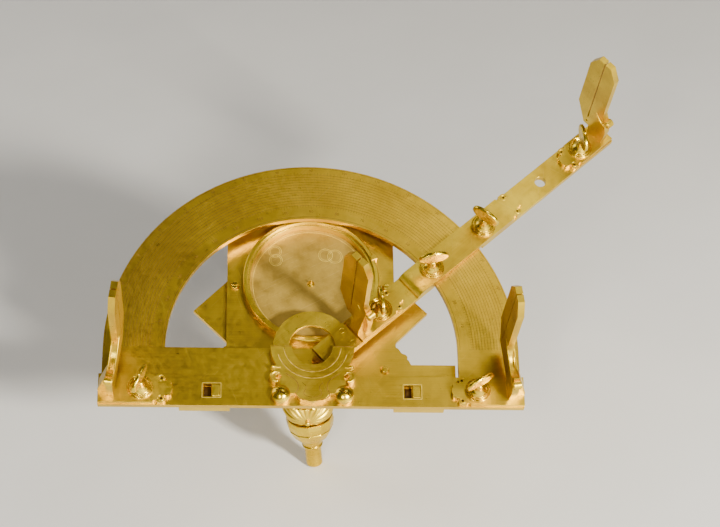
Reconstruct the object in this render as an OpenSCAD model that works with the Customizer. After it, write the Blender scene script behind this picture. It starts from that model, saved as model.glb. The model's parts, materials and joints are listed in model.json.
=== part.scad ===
// Graphometer: a half-circle surveying instrument of gilt brass, with two fixed
// sights on the base bar, a turning alidade with two more, a sunk compass box,
// and a ball joint between two shells on a shank for a staff.
// The plate parts are drawn flat: pivot at the origin, X along the diameter,
// Y towards the top of the arc, Z up from the engraved face. on_plate() then
// sets them on the ball. The stem stands on the Z axis, with the shoulder of
// the shank at the origin.

/* [Pose] */
// Lean of the plate towards the viewer at rest, degrees
plate_tilt = 32; // [20:1:38]
// Lean of the plate to its right at rest, degrees
plate_roll = 8; // [0:0.5:12]
// Angle of the alidade from the diameter at rest, degrees
alidade_angle = 41.5; // [36:0.5:60]

/* [Limb] */
// Outer radius of the divided limb
limb_r = 120; // [112:1:130]
// Inner radius of the divided limb
limb_inner_r = 84.5; // [80:0.5:88]
// Thickness of the limb plate and of both alidade arms
plate_t = 3.6; // [3:0.1:5]
// Depth of the base bar in front of the diameter
bar_front = 36; // [34:0.5:42]
// How far the base bar runs past the arc at each end
bar_overhang = 1.5; // [0.5:0.5:4]
// Distance of the latch windows from the centre
window_x = 57.4; // [52:0.2:62]
// Length of a latch window
window_l = 9.5; // [8:0.5:12]
// Width of a latch window
window_w = 7.8; // [6:0.2:10]

/* [Alidade] */
// Width of the alidade arms
alidade_w = 17; // [15:0.5:18]
// Reach of the alidade from the centre
alidade_len = 234; // [222:1:245]
// Gap between the moving arms and the plate
pass_gap = 0.2; // [0.15:0.05:0.3]
// Thickness of the bridge over the limb
bridge_t = 3.2; // [2.6:0.1:4]
// Lap of the bridge over the inner arm
bridge_lap_in = 16; // [12:0.5:18]
// Lap of the bridge past the limb, over the outer arm
bridge_lap_out = 38.5; // [30:0.5:44]
// Length of the bevel at the inner end of the bridge
bridge_bevel = 3.7; // [2:0.1:5]
// Distance of the clamp screw from the inner edge of the limb
clamp_inset = 2.5; // [1.5:0.5:6]
// Distance of the splice screw from the outer edge of the limb
splice_gap = 9.5; // [9:0.5:14]
// Radius of the round hole in the outer arm
arm_hole_r = 3.4; // [2.5:0.1:4.5]
// Distance of that hole from the centre
arm_hole_s = 179; // [166:1:186]
// Outer radius of the pivot ring
ring_r = 22.5; // [20:0.5:23.5]
// Radius of the sight hole in the pivot ring
ring_hole_r = 13.4; // [11:0.2:15]
// Thickness of the pivot ring
ring_t = 2; // [1.6:0.1:2.6]
// Radius of the rivets in the arms
rivet_r = 1.5; // [1:0.1:2]

/* [Keeper] */
// Thickness of the keeper over the ring
keeper_t = 1.8; // [1.4:0.1:2.6]
// Half distance between the keeper screws
keeper_screw_x = 18; // [16:0.5:20]
// Distance of the keeper screws in front of the diameter
keeper_screw_y = 30; // [29:0.2:30.4]
// Radius of the keeper screws
keeper_shank_r = 2; // [1.5:0.1:2.5]
// Radius of the keeper screw heads
keeper_head_r = 5.2; // [4:0.2:5.4]

/* [Sights] */
// Height of a vane above its foot
vane_h = 72; // [60:1:90]
// Thickness of a vane
vane_t = 3.8; // [3:0.1:5]
// Width of the buttress behind a vane
vane_web = 7; // [6:0.2:8]
// Width of the upper vane
vane_w = 19.6; // [16:0.2:22]
// Width of the sight slit
slit_w = 0.8; // [0.6:0.1:1.2]
// Height of the lower end of the slit above the foot
slit_bottom = 13.5; // [12:0.5:20]
// Radius of the peep hole under the slit
peep_r = 0.8; // [0.5:0.1:1.2]
// Clear height under the overhanging vane
vane_underside = 6.2; // [5:0.2:8]
// Height of the slanting lower corner of a vane
vane_chin = 16; // [8:0.5:20]
// Height of the neck where the vane widens
vane_neck = 27; // [24:0.5:30]
// Thickness of a foot
foot_t = 2.6; // [2:0.1:3.4]
// Width of a foot on the base bar
fixed_foot_w = 17.4; // [14:0.2:17.8]
// Length of a foot on the base bar, in front of its vane
fixed_foot_len = 32; // [30:0.5:38]
// Length of a foot on the base bar, behind its vane
fixed_tail = 6; // [4:0.5:8]
// Turn of the vanes of the base bar on their feet
fixed_twist = 7; // [0:0.5:10]
// Distance of the wing screw from a fixed vane
fixed_screw_gap = 17; // [13:0.5:20]
// How much nearer to its vane the left wing screw stands
left_screw_shift = 3; // [0:0.5:4]
// Width of a foot on the alidade
arm_foot_w = 16; // [13:0.2:16.6]
// Length of a foot on the alidade, in front of its vane
arm_foot_len = 28.5; // [25:0.5:32]
// Length of a foot on the alidade, behind its vane
arm_tail = 4.4; // [3.4:0.2:6]
// Distance of the wing screw from a vane on the alidade
arm_screw_gap = 12.5; // [11:0.5:14]

/* [Wing screws] */
// Radius of the screw shank
screw_r = 1.9; // [1.5:0.1:2.4]
// Radius of the washer under the bell
washer_r = 7.4; // [6.4:0.1:8]
// Thickness of the washer
washer_t = 1.2; // [0.8:0.1:1.8]
// Radius of the bell that carries the wing
dome_r = 6.2; // [5:0.1:6.4]
// Height of the bell
dome_h = 7.4; // [5:0.2:9]
// Length of the wing
wing_l = 18; // [14:0.5:19]
// Height of the wing
wing_h = 11; // [8:0.2:13]
// Thickness of the wing
wing_t = 2.4; // [1.2:0.1:3]

/* [Compass] */
// Outer radius of the compass box
compass_r = 40.3; // [36:0.1:41]
// Distance of the compass centre from the diameter
compass_y = 46.8; // [45.5:0.1:49]
// Width of the flange that rests on the carrier
compass_flange = 2; // [1.5:0.1:2.5]
// Wall of the compass box below the flange
compass_wall = 2.1; // [1.6:0.1:2.6]
// Height of the compass rim above the carrier
compass_rim_h = 5.2; // [4.6:0.1:5.4]
// Thickness of the compass floor
compass_floor_t = 1.4; // [1:0.1:2]
// Height of the needle pivot
compass_pivot_h = 5; // [4:0.2:6]

/* [Carrier] */
// Height of the latch pads between carrier and plate
pad_h = 6.4; // [6:0.2:8]
// Length of a latch pad
pad_l = 29; // [24:0.5:32]
// Thickness of the carrier plate
carrier_t = 3; // [2.4:0.1:4]
// Half width of the carrier plate
carrier_x = 49.5; // [48:0.5:52]
// Distance of the rear edge of the carrier from the diameter
carrier_rear = 98; // [95:0.5:99]
// Half length of the cross bar of the carrier
crossbar_x = 84; // [78:1:90]
// Radius of the screws through the carrier
carrier_screw_r = 1.5; // [1:0.1:2]
// Distance of the rear pair of those screws from the side of the carrier
carrier_screw_inset = 4.5; // [4:0.1:5]
// Distance of the front pair of those screws from the side of the carrier
front_screw_inset = 6.9; // [5:0.1:9]
// Radius of the posts behind the compass
pillar_r = 4.5; // [3.5:0.1:6]
// Distance of those posts inside the middle line of the limb
pillar_inset = 5.6; // [4:0.1:8]
// Distance of the cross bar behind the front edge of the base bar
crossbar_inset = 5; // [3:0.5:8]
// Distance of the cross bar's rear edge in front of the diameter
crossbar_rear = 5.6; // [4:0.2:12]
// Thickness of the under plate
under_t = 3; // [2.4:0.1:4]
// Half length of the under plate, to the points of its ears
under_x = 69; // [66:0.5:72]
// Distance of the ear points from the diameter
under_ear_y = 29; // [27:0.5:31]

/* [Stem] */
// Radius of the shank that goes into a staff
shank_r = 5; // [4:0.1:6]
// Length of the shank
shank_len = 14; // [10:0.5:20]
// Height of the cone above the shank
cone_h = 8; // [6:0.5:10]
// Radius of the ball
ball_r = 11.5; // [10.5:0.1:12]
// Thickness of the two shells
shell_t = 4.2; // [3.4:0.1:4.6]
// Gap between the ball and the shells
ball_gap = 0.3; // [0.2:0.05:0.4]
// Height of the ball centre above the cone
ball_rise = 25; // [24.5:0.1:27]
// Radius of the neck above the ball
neck_r = 4.5; // [3.6:0.1:4.8]
// Length of the stud, from the ball centre to the under plate
stud_len = 42; // [38:0.5:50]
// Distance of the stud in front of the diameter
stud_y = 9; // [6:0.5:12]
// Radius of the spigot that holds the stud in the plates
stud_spigot_r = 6; // [5:0.1:7]
// Drop of the top of the collar nut below the ball centre
nut_drop = 10; // [9:0.1:11]
// Radius of the faceted collar nut
nut_r = 14.6; // [14.5:0.1:16]
// Radius of the thread under the collar nut
thread_r = 8; // [7.4:0.1:8.6]

/* [Hidden] */
$fn = 96;
gilt = "goldenrod";
pale_gilt = "khaki";
dark_gilt = "darkgoldenrod";
copper = "peru";
over = 1;             // how far a cutting solid runs past what it cuts
fit_gap = 0.05;       // radial clearance of a turning screw or spigot
seat_gap = 0.02;      // radial clearance of a fixed pin
part_gap = 0.4;       // clearance where pieces pass each other

// Levels above the engraved face
arm_top = pass_gap;
arm_bottom = arm_top - plate_t;
bridge_top = arm_top + bridge_t;
ring_top = arm_top + ring_t;
keeper_bottom = ring_top + pass_gap;
keeper_top = keeper_bottom + keeper_t;
carrier_top = -plate_t - pad_h;
carrier_bottom = carrier_top - carrier_t;
under_bottom = carrier_bottom - under_t;

// Places along the bar and the alidade
slot_w = alidade_w + 2 * pass_gap;
bar_mid = -(bar_front + slot_w) / 2;
bar_end = limb_r + bar_overhang;
arm_mid = -alidade_w / 2;
fixed_crank = -bar_mid;
arm_crank = -arm_mid;
fixed_vane_x = bar_end - fixed_tail - vane_t;
inner_foot_s = ring_r + 2;
inner_vane_s = inner_foot_s + arm_tail + vane_t;
outer_vane_s = alidade_len - part_gap - arm_tail - vane_t;
inner_arm_r = limb_inner_r - part_gap;
outer_arm_s = bar_end + part_gap;
bridge_s = limb_inner_r - bridge_lap_in;
bridge_end = limb_r + bridge_lap_out;
clamp_s = limb_inner_r + clamp_inset;
splice_s = limb_r + splice_gap;
tab_s = ring_r + 1;

// Heights on the stem
ball_z = cone_h + ball_rise;
shell_r = ball_r + ball_gap + shell_t;
shell_rim = 4;
spigot_r = shank_r;
nut_top = ball_z - nut_drop;
thread_top = ball_z - shell_r - pass_gap;
spigot_bottom = cone_h + 1;
ball_y = -stud_y;
ball_level = under_bottom - stud_len;

// Set plate parts on the ball
module on_plate() {
  translate([0, 0, ball_z])
    rotate([plate_tilt, 0, 0])
      rotate([0, plate_roll, 0])
        translate([0, -ball_y, -ball_level])
          children();
}

// Set alidade parts on the plate: X along the fiducial edge, Y away from the arm
module on_alidade() {
  on_plate() rotate([0, 0, alidade_angle]) children();
}

// A flat piece between two levels
module slab(low, high) {
  translate([0, 0, low]) linear_extrude(high - low) children();
}

// A round hole through everything between two levels
module drill(x, y, r, low, high) {
  translate([x, y, low - over]) cylinder(r = r, h = high - low + 2 * over);
}

// Two rolled ends and a leafed tongue: the scrolled end of a foot or a bridge
roll_share = 0.145;
tongue_at = 0.2;
tongue_share = 2.2;
scroll_share = roll_share * (tongue_at + tongue_share);

module scroll_end(w) {
  roll = w * roll_share;
  tongue = roll * tongue_share;
  leaf = 40;
  translate([roll * tongue_at, 0]) circle(tongue);
  for (side = [-1, 1]) {
    translate([0, side * (w / 2 - roll)]) circle(roll);
    translate([roll * tongue_at + tongue * cos(leaf), side * tongue * sin(leaf)]) circle(roll * 0.35);
  }
}

// Eyes of the rolled ends and the notches on both sides of them
module scroll_cuts(w) {
  roll = w * roll_share;
  for (side = [-1, 1]) {
    translate([0, side * (w / 2 - roll)]) circle(roll * 0.32);
    translate([roll * -1.4, side * w / 2]) circle(roll * 0.5);
    translate([roll * 0.93, side * (w / 2 - roll * 1.37)]) circle(roll * 0.3);
  }
}

// Outline of a foot, with its vane at X = 0 and its screw in front
module foot_outline(w, len, back) {
  root = len - w * scroll_share;
  difference() {
    union() {
      translate([-back, -w / 2]) square([back + root, w]);
      translate([root, 0]) scroll_end(w);
    }
    translate([root, 0]) scroll_cuts(w);
  }
}

// Foot plate under a vane
module foot(w, len, tail, screw_gap, seat) {
  difference() {
    slab(seat, seat + foot_t) foot_outline(w, len, tail + vane_t);
    drill(screw_gap, 0, screw_r + fit_gap, seat, seat + foot_t);
  }
}

// Vane outline: lug over the foot, swan neck, and the plate on the sight line
module vane_outline(crank) {
  lug = 5.5;
  ear = 2.6;
  half = vane_w / 2;
  cut = 5;
  shoulder = 9;
  dip = (crank - half + 3) / 2;
  difference() {
    union() {
      polygon([
        [-lug, 0], [lug, 0], [lug + 0.7, 4],
        [max(lug + 1, crank - 2), vane_underside], [crank + 2, vane_underside],
        [crank + half, vane_underside + vane_chin], [crank + half, vane_h - shoulder],
        [crank + half - cut, vane_h], [crank - half + cut, vane_h],
        [crank - half, vane_h - shoulder], [crank - half, vane_neck],
        [-3, vane_neck - 3], [-lug - 1, vane_neck * 0.44]
      ]);
      translate([-lug, vane_neck - 6]) circle(ear);
    }
    translate([crank - half - dip, vane_neck + 0.5]) circle(dip);
    translate([crank - slit_w / 2, slit_bottom]) square([slit_w, vane_h]);
    translate([crank, slit_bottom - 4]) circle(peep_r);
  }
}

// Vane: its front face at X = 0, a buttress behind its lug
module vane(crank, tail, seat) {
  web_h = vane_neck - 4;
  translate([0, 0, seat + foot_t]) {
    rotate([90, 0, -90]) mirror([1, 0, 0]) linear_extrude(vane_t) vane_outline(crank);
    translate([-vane_t, vane_web / 2, 0])
      rotate([90, 0, 0])
        linear_extrude(vane_web)
          difference() {
            polygon([[0, 0], [-tail, 0], [-tail, 3], [0, web_h]]);
            translate([-tail - web_h * 0.62, web_h * 0.78]) circle(web_h * 0.62 + tail * 0.3);
          }
  }
}

// Half section of the bell under a wing, as shares of its radius and height
bell = [[0, 0], [1, 0], [1, 0.12], [0.74, 0.2], [0.48, 0.36], [0.37, 0.6], [0.34, 1], [0, 1]];

// Wing screw, seated at Z = 0
module wing_screw(depth, turn) {
  sunk = 0.8;
  knob_r = 1.1;
  round_r = wing_h / 2;
  wing_z = washer_t + dome_h - sunk + round_r;
  reach = wing_l / 2 - round_r;
  rotate([0, 0, turn]) {
    translate([0, 0, -depth]) cylinder(r = screw_r, h = depth + over);
    rotate_extrude() {
      square([washer_r, washer_t]);
      translate([0, washer_t - over]) polygon([for (p = bell) [p[0] * dome_r, p[1] * dome_h + over]]);
    }
    rotate([90, 0, 0])
      translate([0, wing_z, -wing_t / 2])
        linear_extrude(wing_t) {
          square([2 * reach, wing_h], center = true);
          translate([-reach, 0]) circle(round_r);
          translate([reach, 0]) circle(round_r);
          translate([0, round_r]) circle(knob_r);
        }
  }
}

// Shank, cone and thread of the stem
module staff_shank() {
  tip = 1.5;
  color(gilt)
    difference() {
      rotate_extrude() {
        translate([0, tip - shank_len]) square([shank_r, shank_len - tip]);
        translate([0, -shank_len]) square([shank_r - tip, shank_len]);
        translate([shank_r - tip, tip - shank_len]) circle(tip);
        polygon([[0, 0], [shank_r + 1, 0], [shank_r + 1.4, 1.6], [shank_r + 0.8, 2.2],
                 [thread_r - 0.4, cone_h], [0, cone_h]]);
        translate([0, cone_h]) square([thread_r, thread_top - cone_h]);
      }
      translate([0, 0, spigot_bottom])
        cylinder(r = spigot_r + fit_gap, h = thread_top);
    }
}

// Steps of the nut, as shares of its height and radius
nut_steps = [[0, 0.7], [0.2, 0.82], [0.47, 0.95], [0.52, 0.91], [0.57, 0.97], [0.8, 1], [1, 0.97]];

// Twelve-sided nut that closes the shells on the ball
module collar_nut() {
  low = cone_h + pass_gap;
  tall = nut_top - low;
  color(gilt)
    difference() {
      union() {
        for (k = [1:len(nut_steps) - 1]) {
          from = nut_steps[k - 1];
          to = nut_steps[k];
          translate([0, 0, low + from[0] * tall])
            cylinder(r1 = nut_r * from[1], r2 = nut_r * to[1], h = (to[0] - from[0]) * tall, $fn = 12);
        }
      }
      drill(0, 0, thread_r + fit_gap, low, thread_top);
      translate([0, 0, ball_z]) sphere(shell_r + ball_gap);
    }
}

// One half of the socket: a shell from the split plane outwards
module shell_half(side) {
  split = 0.3;
  intersection() {
    difference() {
      sphere(shell_r);
      sphere(ball_r + ball_gap);
    }
    translate([-2 * shell_r, side > 0 ? split : -2 * shell_r - split, -2 * shell_r])
      cube([4 * shell_r, 2 * shell_r, 2 * shell_r + shell_rim]);
  }
}

// The front shell, with the bead from which its ribs fan out
module front_shell() {
  umbo = 20;
  bead_r = 2;
  color(pale_gilt)
    translate([0, 0, ball_z]) {
      shell_half(-1);
      rotate([umbo, 0, 0])
        translate([0, 0.5 - shell_r, 0])
          rotate([90, 0, 0])
            cylinder(r1 = bead_r, r2 = bead_r * 0.6, h = 2);
    }
}

// The rear shell, in one piece with the spigot that swivels in the shank
module rear_shell() {
  color(gilt) {
    translate([0, 0, ball_z]) shell_half(1);
    difference() {
      translate([0, 0, spigot_bottom + pass_gap])
        cylinder(r = spigot_r, h = ball_z - spigot_bottom - ball_r);
      translate([0, 0, ball_z]) sphere(ball_r + ball_gap);
      translate([-2 * shell_r, -4 * shell_r, thread_top])
        cube([4 * shell_r, 4 * shell_r + 0.3, shell_r]);
    }
  }
}

// Ball, neck and flange, in plate coordinates
module ball_stud() {
  flange_r = 2 * stud_spigot_r;
  flange_t = 3;
  baluster = [0.43, 0.36, 0.29] * stud_len;
  color(gilt)
    on_plate()
      translate([0, ball_y, ball_level]) {
        sphere(ball_r);
        cylinder(r = neck_r, h = stud_len);
        translate([0, 0, stud_len])
          rotate_extrude() {
            polygon([[0, -baluster[0]], [neck_r, -baluster[0]], [neck_r + 1.6, -baluster[1]],
                     [neck_r + 0.4, -baluster[2]], [flange_r - flange_t, -flange_t - 1],
                     [flange_r, -flange_t], [flange_r, 0], [0, 0]]);
            square([stud_spigot_r, under_t + carrier_t]);
          }
      }
}

// Ear-shaped plate under the carrier, which holds the stud
module under_plate() {
  front = ball_y - 13;
  waist = under_x - carrier_x;
  step = 4;
  color(dark_gilt)
    on_plate()
      difference() {
        slab(under_bottom, carrier_bottom)
          polygon([
            [-under_x, under_ear_y], [-carrier_x, under_ear_y - waist], [-carrier_x, front],
            [carrier_x, front], [carrier_x, under_ear_y - waist], [under_x, under_ear_y],
            [carrier_x - step, under_ear_y + waist + step],
            [step - carrier_x, under_ear_y + waist + step]
          ]);
        drill(0, ball_y, stud_spigot_r + seat_gap, under_bottom, carrier_bottom);
        carrier_screw_holes();
      }
}

// Places of the screws that hold the carrier on the under plate: a front pair in line with the ball's
// stud, and a rear pair beside the compass
front_screw_x = carrier_x - front_screw_inset;
carrier_screw_x = carrier_x - carrier_screw_inset;
carrier_head_r = carrier_screw_r + 1.3;
screw_ring = compass_r + carrier_head_r + part_gap;
screw_slip = screw_ring > carrier_screw_x ? sqrt(pow(screw_ring, 2) - pow(carrier_screw_x, 2)) : 0;
carrier_screw_y = compass_y - 2.8 - screw_slip;
carrier_screw_spots = [
  [-front_screw_x, ball_y], [-carrier_screw_x, carrier_screw_y],
  [front_screw_x, ball_y], [carrier_screw_x, carrier_screw_y]
];

module carrier_screw_holes() {
  for (spot = carrier_screw_spots) {
    drill(spot[0], spot[1], carrier_screw_r + seat_gap, under_bottom, carrier_top);
  }
}

// Moulding in the corner between carrier and cross bar, from the cross bar up
corner_moulding = [[8.6, -over], [8.6, 0], [7.8, 1.9], [7.2, 2.9], [6.4, 3.6], [6.7, 4.6], [6.4, 5.7],
                   [5.6, 6.5], [4.4, 6.9], [3.3, 7.4], [2.5, 8.6], [1.6, 10], [0.8, 10.7], [0, 11]];

// Outline of the carrier: a wide tongue with a cross bar at the front
module carrier_outline() {
  top = len(corner_moulding) - 1;
  right = [for (p = corner_moulding) [carrier_x + p[0], p[1] - crossbar_rear]];
  left = [for (k = [0 : top]) [-right[top - k][0], right[top - k][1]]];
  polygon(concat(right, [[carrier_x, carrier_rear], [-carrier_x, carrier_rear]], left));
  translate([-crossbar_x, crossbar_inset - bar_front])
    square([2 * crossbar_x, bar_front - crossbar_rear - crossbar_inset]);
}

module carrier_plate() {
  color(gilt)
    on_plate()
      difference() {
        slab(carrier_bottom, carrier_top) carrier_outline();
        drill(0, compass_y, compass_r - compass_flange + seat_gap, carrier_bottom, carrier_top);
        drill(0, ball_y, stud_spigot_r + seat_gap, carrier_bottom, carrier_top);
        carrier_screw_holes();
        for (side = [-1, 1]) {
          drill(side * pillar_x, pillar_y, pillar_pin_r + seat_gap, carrier_bottom, carrier_top);
        }
      }
}

// Dome-headed screws through the carrier and the under plate
module carrier_screws() {
  head_h = 1.6;
  color(pale_gilt)
    on_plate()
      for (spot = carrier_screw_spots) {
        translate([spot[0], spot[1], 0]) {
          translate([0, 0, under_bottom])
            cylinder(r = carrier_screw_r, h = carrier_top - under_bottom);
          translate([0, 0, carrier_top])
            difference() {
              cylinder(r1 = carrier_head_r, r2 = carrier_head_r * 0.7, h = head_h);
              translate([-carrier_head_r, -0.3, head_h - 0.6]) cube([2 * carrier_head_r, 0.6, 2]);
            }
        }
      }
}

// Posts that carry the back of the limb
pillar_angle = 65.56;
pillar_ring = (limb_r + limb_inner_r) / 2 - pillar_inset;
pillar_x = pillar_ring * cos(pillar_angle);
pillar_y = pillar_ring * sin(pillar_angle);
pillar_sink = plate_t * 0.55;
pillar_pin_r = pillar_r - 2.5;

module rear_pillars() {
  color(dark_gilt)
    on_plate()
      for (side = [-1, 1]) {
        translate([side * pillar_x, pillar_y, 0]) {
          translate([0, 0, carrier_bottom])
            cylinder(r = pillar_pin_r, h = -plate_t + pillar_sink - carrier_bottom);
          translate([0, 0, carrier_top]) cylinder(r = pillar_r, h = pad_h);
        }
      }
}

// Pad under the bar, with the tenon that fills half of its window
module latch_pad(side) {
  tenon_l = window_l / 2;
  margin = 0.5;
  outward = 4;
  depth = bar_front - slot_w - 4 * margin;
  x = side * window_x;
  slab(carrier_top, -plate_t)
    translate([x - pad_l / 2 + side * outward, margin - bar_front]) square([pad_l, depth]);
  slab(-plate_t - over, 0)
    translate([x + part_gap / 4, bar_mid - window_w / 2 + part_gap / 2])
      square([tenon_l - part_gap / 2, window_w - part_gap]);
}

module left_latch_pad() {
  color(dark_gilt) on_plate() latch_pad(-1);
}

module right_latch_pad() {
  color(dark_gilt) on_plate() latch_pad(1);
}

// Compass box: a flanged ring, its floor and the bare needle pivot
module compass_ring() {
  cup_r = compass_r - compass_flange;
  hole_r = cup_r - compass_wall;
  rim = carrier_top + compass_rim_h;
  round_off = 0.6;
  ledge_r = compass_r - 2.5;
  ledge = rim - 1.6;
  color(gilt)
    on_plate()
      translate([0, compass_y, 0])
        rotate_extrude()
          polygon([
            [hole_r, carrier_bottom], [cup_r, carrier_bottom], [cup_r, carrier_top],
            [compass_r, carrier_top], [compass_r, rim - round_off], [compass_r - round_off, rim],
            [ledge_r, rim], [ledge_r, ledge], [hole_r, ledge]
          ]);
}

module compass_floor() {
  hole_r = compass_r - compass_flange - compass_wall;
  color(copper)
    on_plate()
      translate([0, compass_y, carrier_bottom])
        difference() {
          cylinder(r = hole_r - seat_gap, h = compass_floor_t);
          drill(0, 0, needle_pin_r + seat_gap, 0, compass_floor_t);
        }
}

// Bare pin that carried the needle
needle_pin_r = 1;

module compass_pivot() {
  base_r = 2.2;
  base_h = 1.2;
  color(pale_gilt)
    on_plate()
      translate([0, compass_y, carrier_bottom]) {
        cylinder(r = needle_pin_r, h = compass_floor_t + base_h);
        translate([0, 0, compass_floor_t]) {
          cylinder(r1 = base_r, r2 = 0.9, h = base_h);
          cylinder(r1 = 0.9, r2 = 0.3, h = compass_pivot_h);
        }
      }
}

// Clip that holds the compass flange down
module compass_clip() {
  clip_w = 3.6;
  clip_angle = 22;
  lap = 2;
  lip = 0.6;
  color(gilt)
    on_plate()
      translate([0, compass_y, 0])
        rotate([0, 0, clip_angle])
          difference() {
            translate([compass_r - lap, -clip_w / 2, carrier_top])
              cube([clip_w, clip_w, compass_rim_h + lip]);
            translate([0, 0, carrier_top - over]) cylinder(r = compass_r, h = compass_rim_h + over);
          }
}

// Limb and base bar in one plate, cut away for the alidade
module limb_outline() {
  difference() {
    union() {
      intersection() {
        difference() {
          circle(limb_r);
          circle(limb_inner_r);
        }
        translate([-2 * limb_r, 0]) square([4 * limb_r, 2 * limb_r]);
      }
      translate([-limb_r, -bar_front]) square([limb_r - pass_gap, bar_front - pass_gap]);
      translate([-limb_r, -over]) square([limb_r - limb_inner_r, 2 * over]);
      translate([limb_inner_r, -bar_front]) square([limb_r - limb_inner_r, bar_front + over]);
      translate([-bar_end, -bar_front]) square([2 * bar_end, bar_front - slot_w]);
    }
    for (side = [-1, 1]) {
      translate([side * window_x, bar_mid]) square([window_l, window_w], center = true);
    }
  }
}

module limb_plate() {
  color(gilt)
    on_plate()
      difference() {
        slab(-plate_t, 0) intersection() {
          limb_outline();
          union() {
            circle(limb_r);
            translate([-bar_end, -bar_front]) square([2 * bar_end, bar_front]);
          }
        }
        drill(-left_screw_x, bar_mid, screw_r + fit_gap, -plate_t, 0);
        drill(fixed_screw_x, bar_mid, screw_r + fit_gap, -plate_t, 0);
        for (side = [-1, 1]) {
          drill(side * keeper_screw_x, -keeper_screw_y, keeper_shank_r + seat_gap, -plate_t, 0);
          translate([side * pillar_x, pillar_y, -plate_t - over])
            cylinder(r = pillar_pin_r + seat_gap, h = pillar_sink + over);
        }
      }
}

// Keeper over the front half of the ring, with curled ears and a pointed tip
ear_x = 20.8;
ear_y = 19.6;
ear_r = 3.9;

// One curled ear: the curl, and the finger above it
module keeper_ear() {
  finger_r = 1.2;
  finger_x = ear_x + 1.8;
  finger_y = ear_r + 1.7 - ear_y;
  translate([ear_x, -ear_y]) circle(ear_r);
  translate([finger_x, finger_y]) circle(finger_r);
  polygon([
    [ear_x - 3.5, finger_y + 2.5], [finger_x, finger_y + finger_r],
    [finger_x, finger_y - finger_r], [ear_x - 3, finger_y - 3.5]
  ]);
}

// The eye of an ear, and the slot that opens it downwards
module keeper_eye() {
  eye_r = 1.6;
  slot = 1.6;
  translate([ear_x - 1.2, -ear_y]) circle(eye_r);
  translate([ear_x - 2, -ear_y - ear_r - eye_r / 2]) square([slot, ear_r + eye_r / 2]);
}

module keeper_outline() {
  tip = bar_front - 0.8;
  step = 1.5;
  difference() {
    union() {
      intersection() {
        circle(ring_r + 1.7);
        translate([-2 * ring_r, -2 * ring_r - pass_gap]) square([4 * ring_r, 2 * ring_r]);
      }
      translate([-ear_x + 2, -keeper_screw_y]) square([2 * ear_x - 4, 14]);
      polygon([
        [-12, 2 - keeper_screw_y], [12, 2 - keeper_screw_y], [7, 2 - tip], [0, -tip], [-7, 2 - tip]
      ]);
      for (side = [0, 1]) {
        mirror([side, 0, 0]) {
          keeper_ear();
          translate([keeper_screw_x, -keeper_screw_y]) circle(keeper_head_r + 0.2);
        }
      }
    }
    circle(ring_hole_r - step);
    keeper_eye();
    mirror([1, 0, 0]) keeper_eye();
  }
}

module centre_keeper() {
  color(pale_gilt)
    on_plate()
      difference() {
        union() {
          slab(keeper_bottom, keeper_top) keeper_outline();
          slab(0, keeper_bottom + over / 2)
            difference() {
              keeper_outline();
              circle(ring_r + 0.3);
              translate([-pass_gap, -slot_w - pass_gap]) square(2 * ring_r);
            }
        }
        for (side = [-1, 1]) {
          drill(side * keeper_screw_x, -keeper_screw_y, keeper_shank_r + seat_gap, 0, keeper_top);
        }
      }
}

module keeper_screws() {
  head_h = 2.6;
  dome = 6.6;
  slot = 1;
  slot_turn = [-28, -24];
  color(pale_gilt)
    on_plate()
      for (side = [0, 1]) {
        translate([(2 * side - 1) * keeper_screw_x, -keeper_screw_y, 0]) {
          translate([0, 0, -plate_t]) cylinder(r = keeper_shank_r, h = plate_t + keeper_top);
          translate([0, 0, keeper_top])
            rotate([0, 0, slot_turn[side]])
              difference() {
                rotate_extrude()
                  intersection() {
                    translate([0, head_h - dome]) circle(dome);
                    square([keeper_head_r, head_h]);
                  }
                translate([-keeper_head_r, -slot / 2, head_h - slot])
                  cube([2 * keeper_head_r, slot, 2 * slot]);
              }
        }
      }
}

// Sights of the base bar
fixed_screw_x = fixed_vane_x - fixed_screw_gap;
left_screw_x = fixed_screw_x + left_screw_shift;

module at_fixed(side) {
  on_plate()
    translate([side * fixed_vane_x, bar_mid, 0])
      mirror([side > 0 ? 1 : 0, 0, 0])
        children();
}

module left_foot() {
  color(gilt)
    at_fixed(-1)
      foot(fixed_foot_w, fixed_foot_len, fixed_tail, fixed_screw_gap - left_screw_shift, 0);
}

// Vane of the base bar, turned on its foot, with its slit kept on the diameter
module fixed_vane() {
  rotate([0, 0, -fixed_twist])
    vane(fixed_crank / cos(fixed_twist), fixed_tail - vane_web * sin(fixed_twist) / 2, 0);
}

module left_vane() {
  color(pale_gilt) at_fixed(-1) fixed_vane();
}

module right_foot() {
  color(gilt) at_fixed(1) foot(fixed_foot_w, fixed_foot_len, fixed_tail, fixed_screw_gap, 0);
}

module right_vane() {
  color(pale_gilt) at_fixed(1) fixed_vane();
}

// Sights of the alidade
inner_screw_s = inner_vane_s + arm_screw_gap;
outer_screw_s = outer_vane_s - arm_screw_gap;

module at_inner() {
  on_alidade() translate([inner_vane_s, arm_mid, 0]) children();
}

module at_outer() {
  on_alidade() translate([outer_vane_s, arm_mid, 0]) mirror([1, 0, 0]) children();
}

module inner_foot() {
  color(gilt) at_inner() foot(arm_foot_w, arm_foot_len, arm_tail, arm_screw_gap, arm_top);
}

module inner_vane() {
  color(pale_gilt) at_inner() vane(arm_crank, arm_tail, arm_top);
}

module outer_foot() {
  color(gilt) at_outer() foot(arm_foot_w, arm_foot_len, arm_tail, arm_screw_gap, arm_top);
}

module outer_vane() {
  color(pale_gilt) at_outer() vane(arm_crank, arm_tail, arm_top);
}

// Rivets of the alidade: a pair under the ring tab and a pair under the bridge
ring_rivet_s = (ring_hole_r + tab_s) / 2 + 1.2;
bridge_rivet_s = bridge_s + bridge_lap_in * 0.36;
rivet_side = alidade_w * 0.28;

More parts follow.
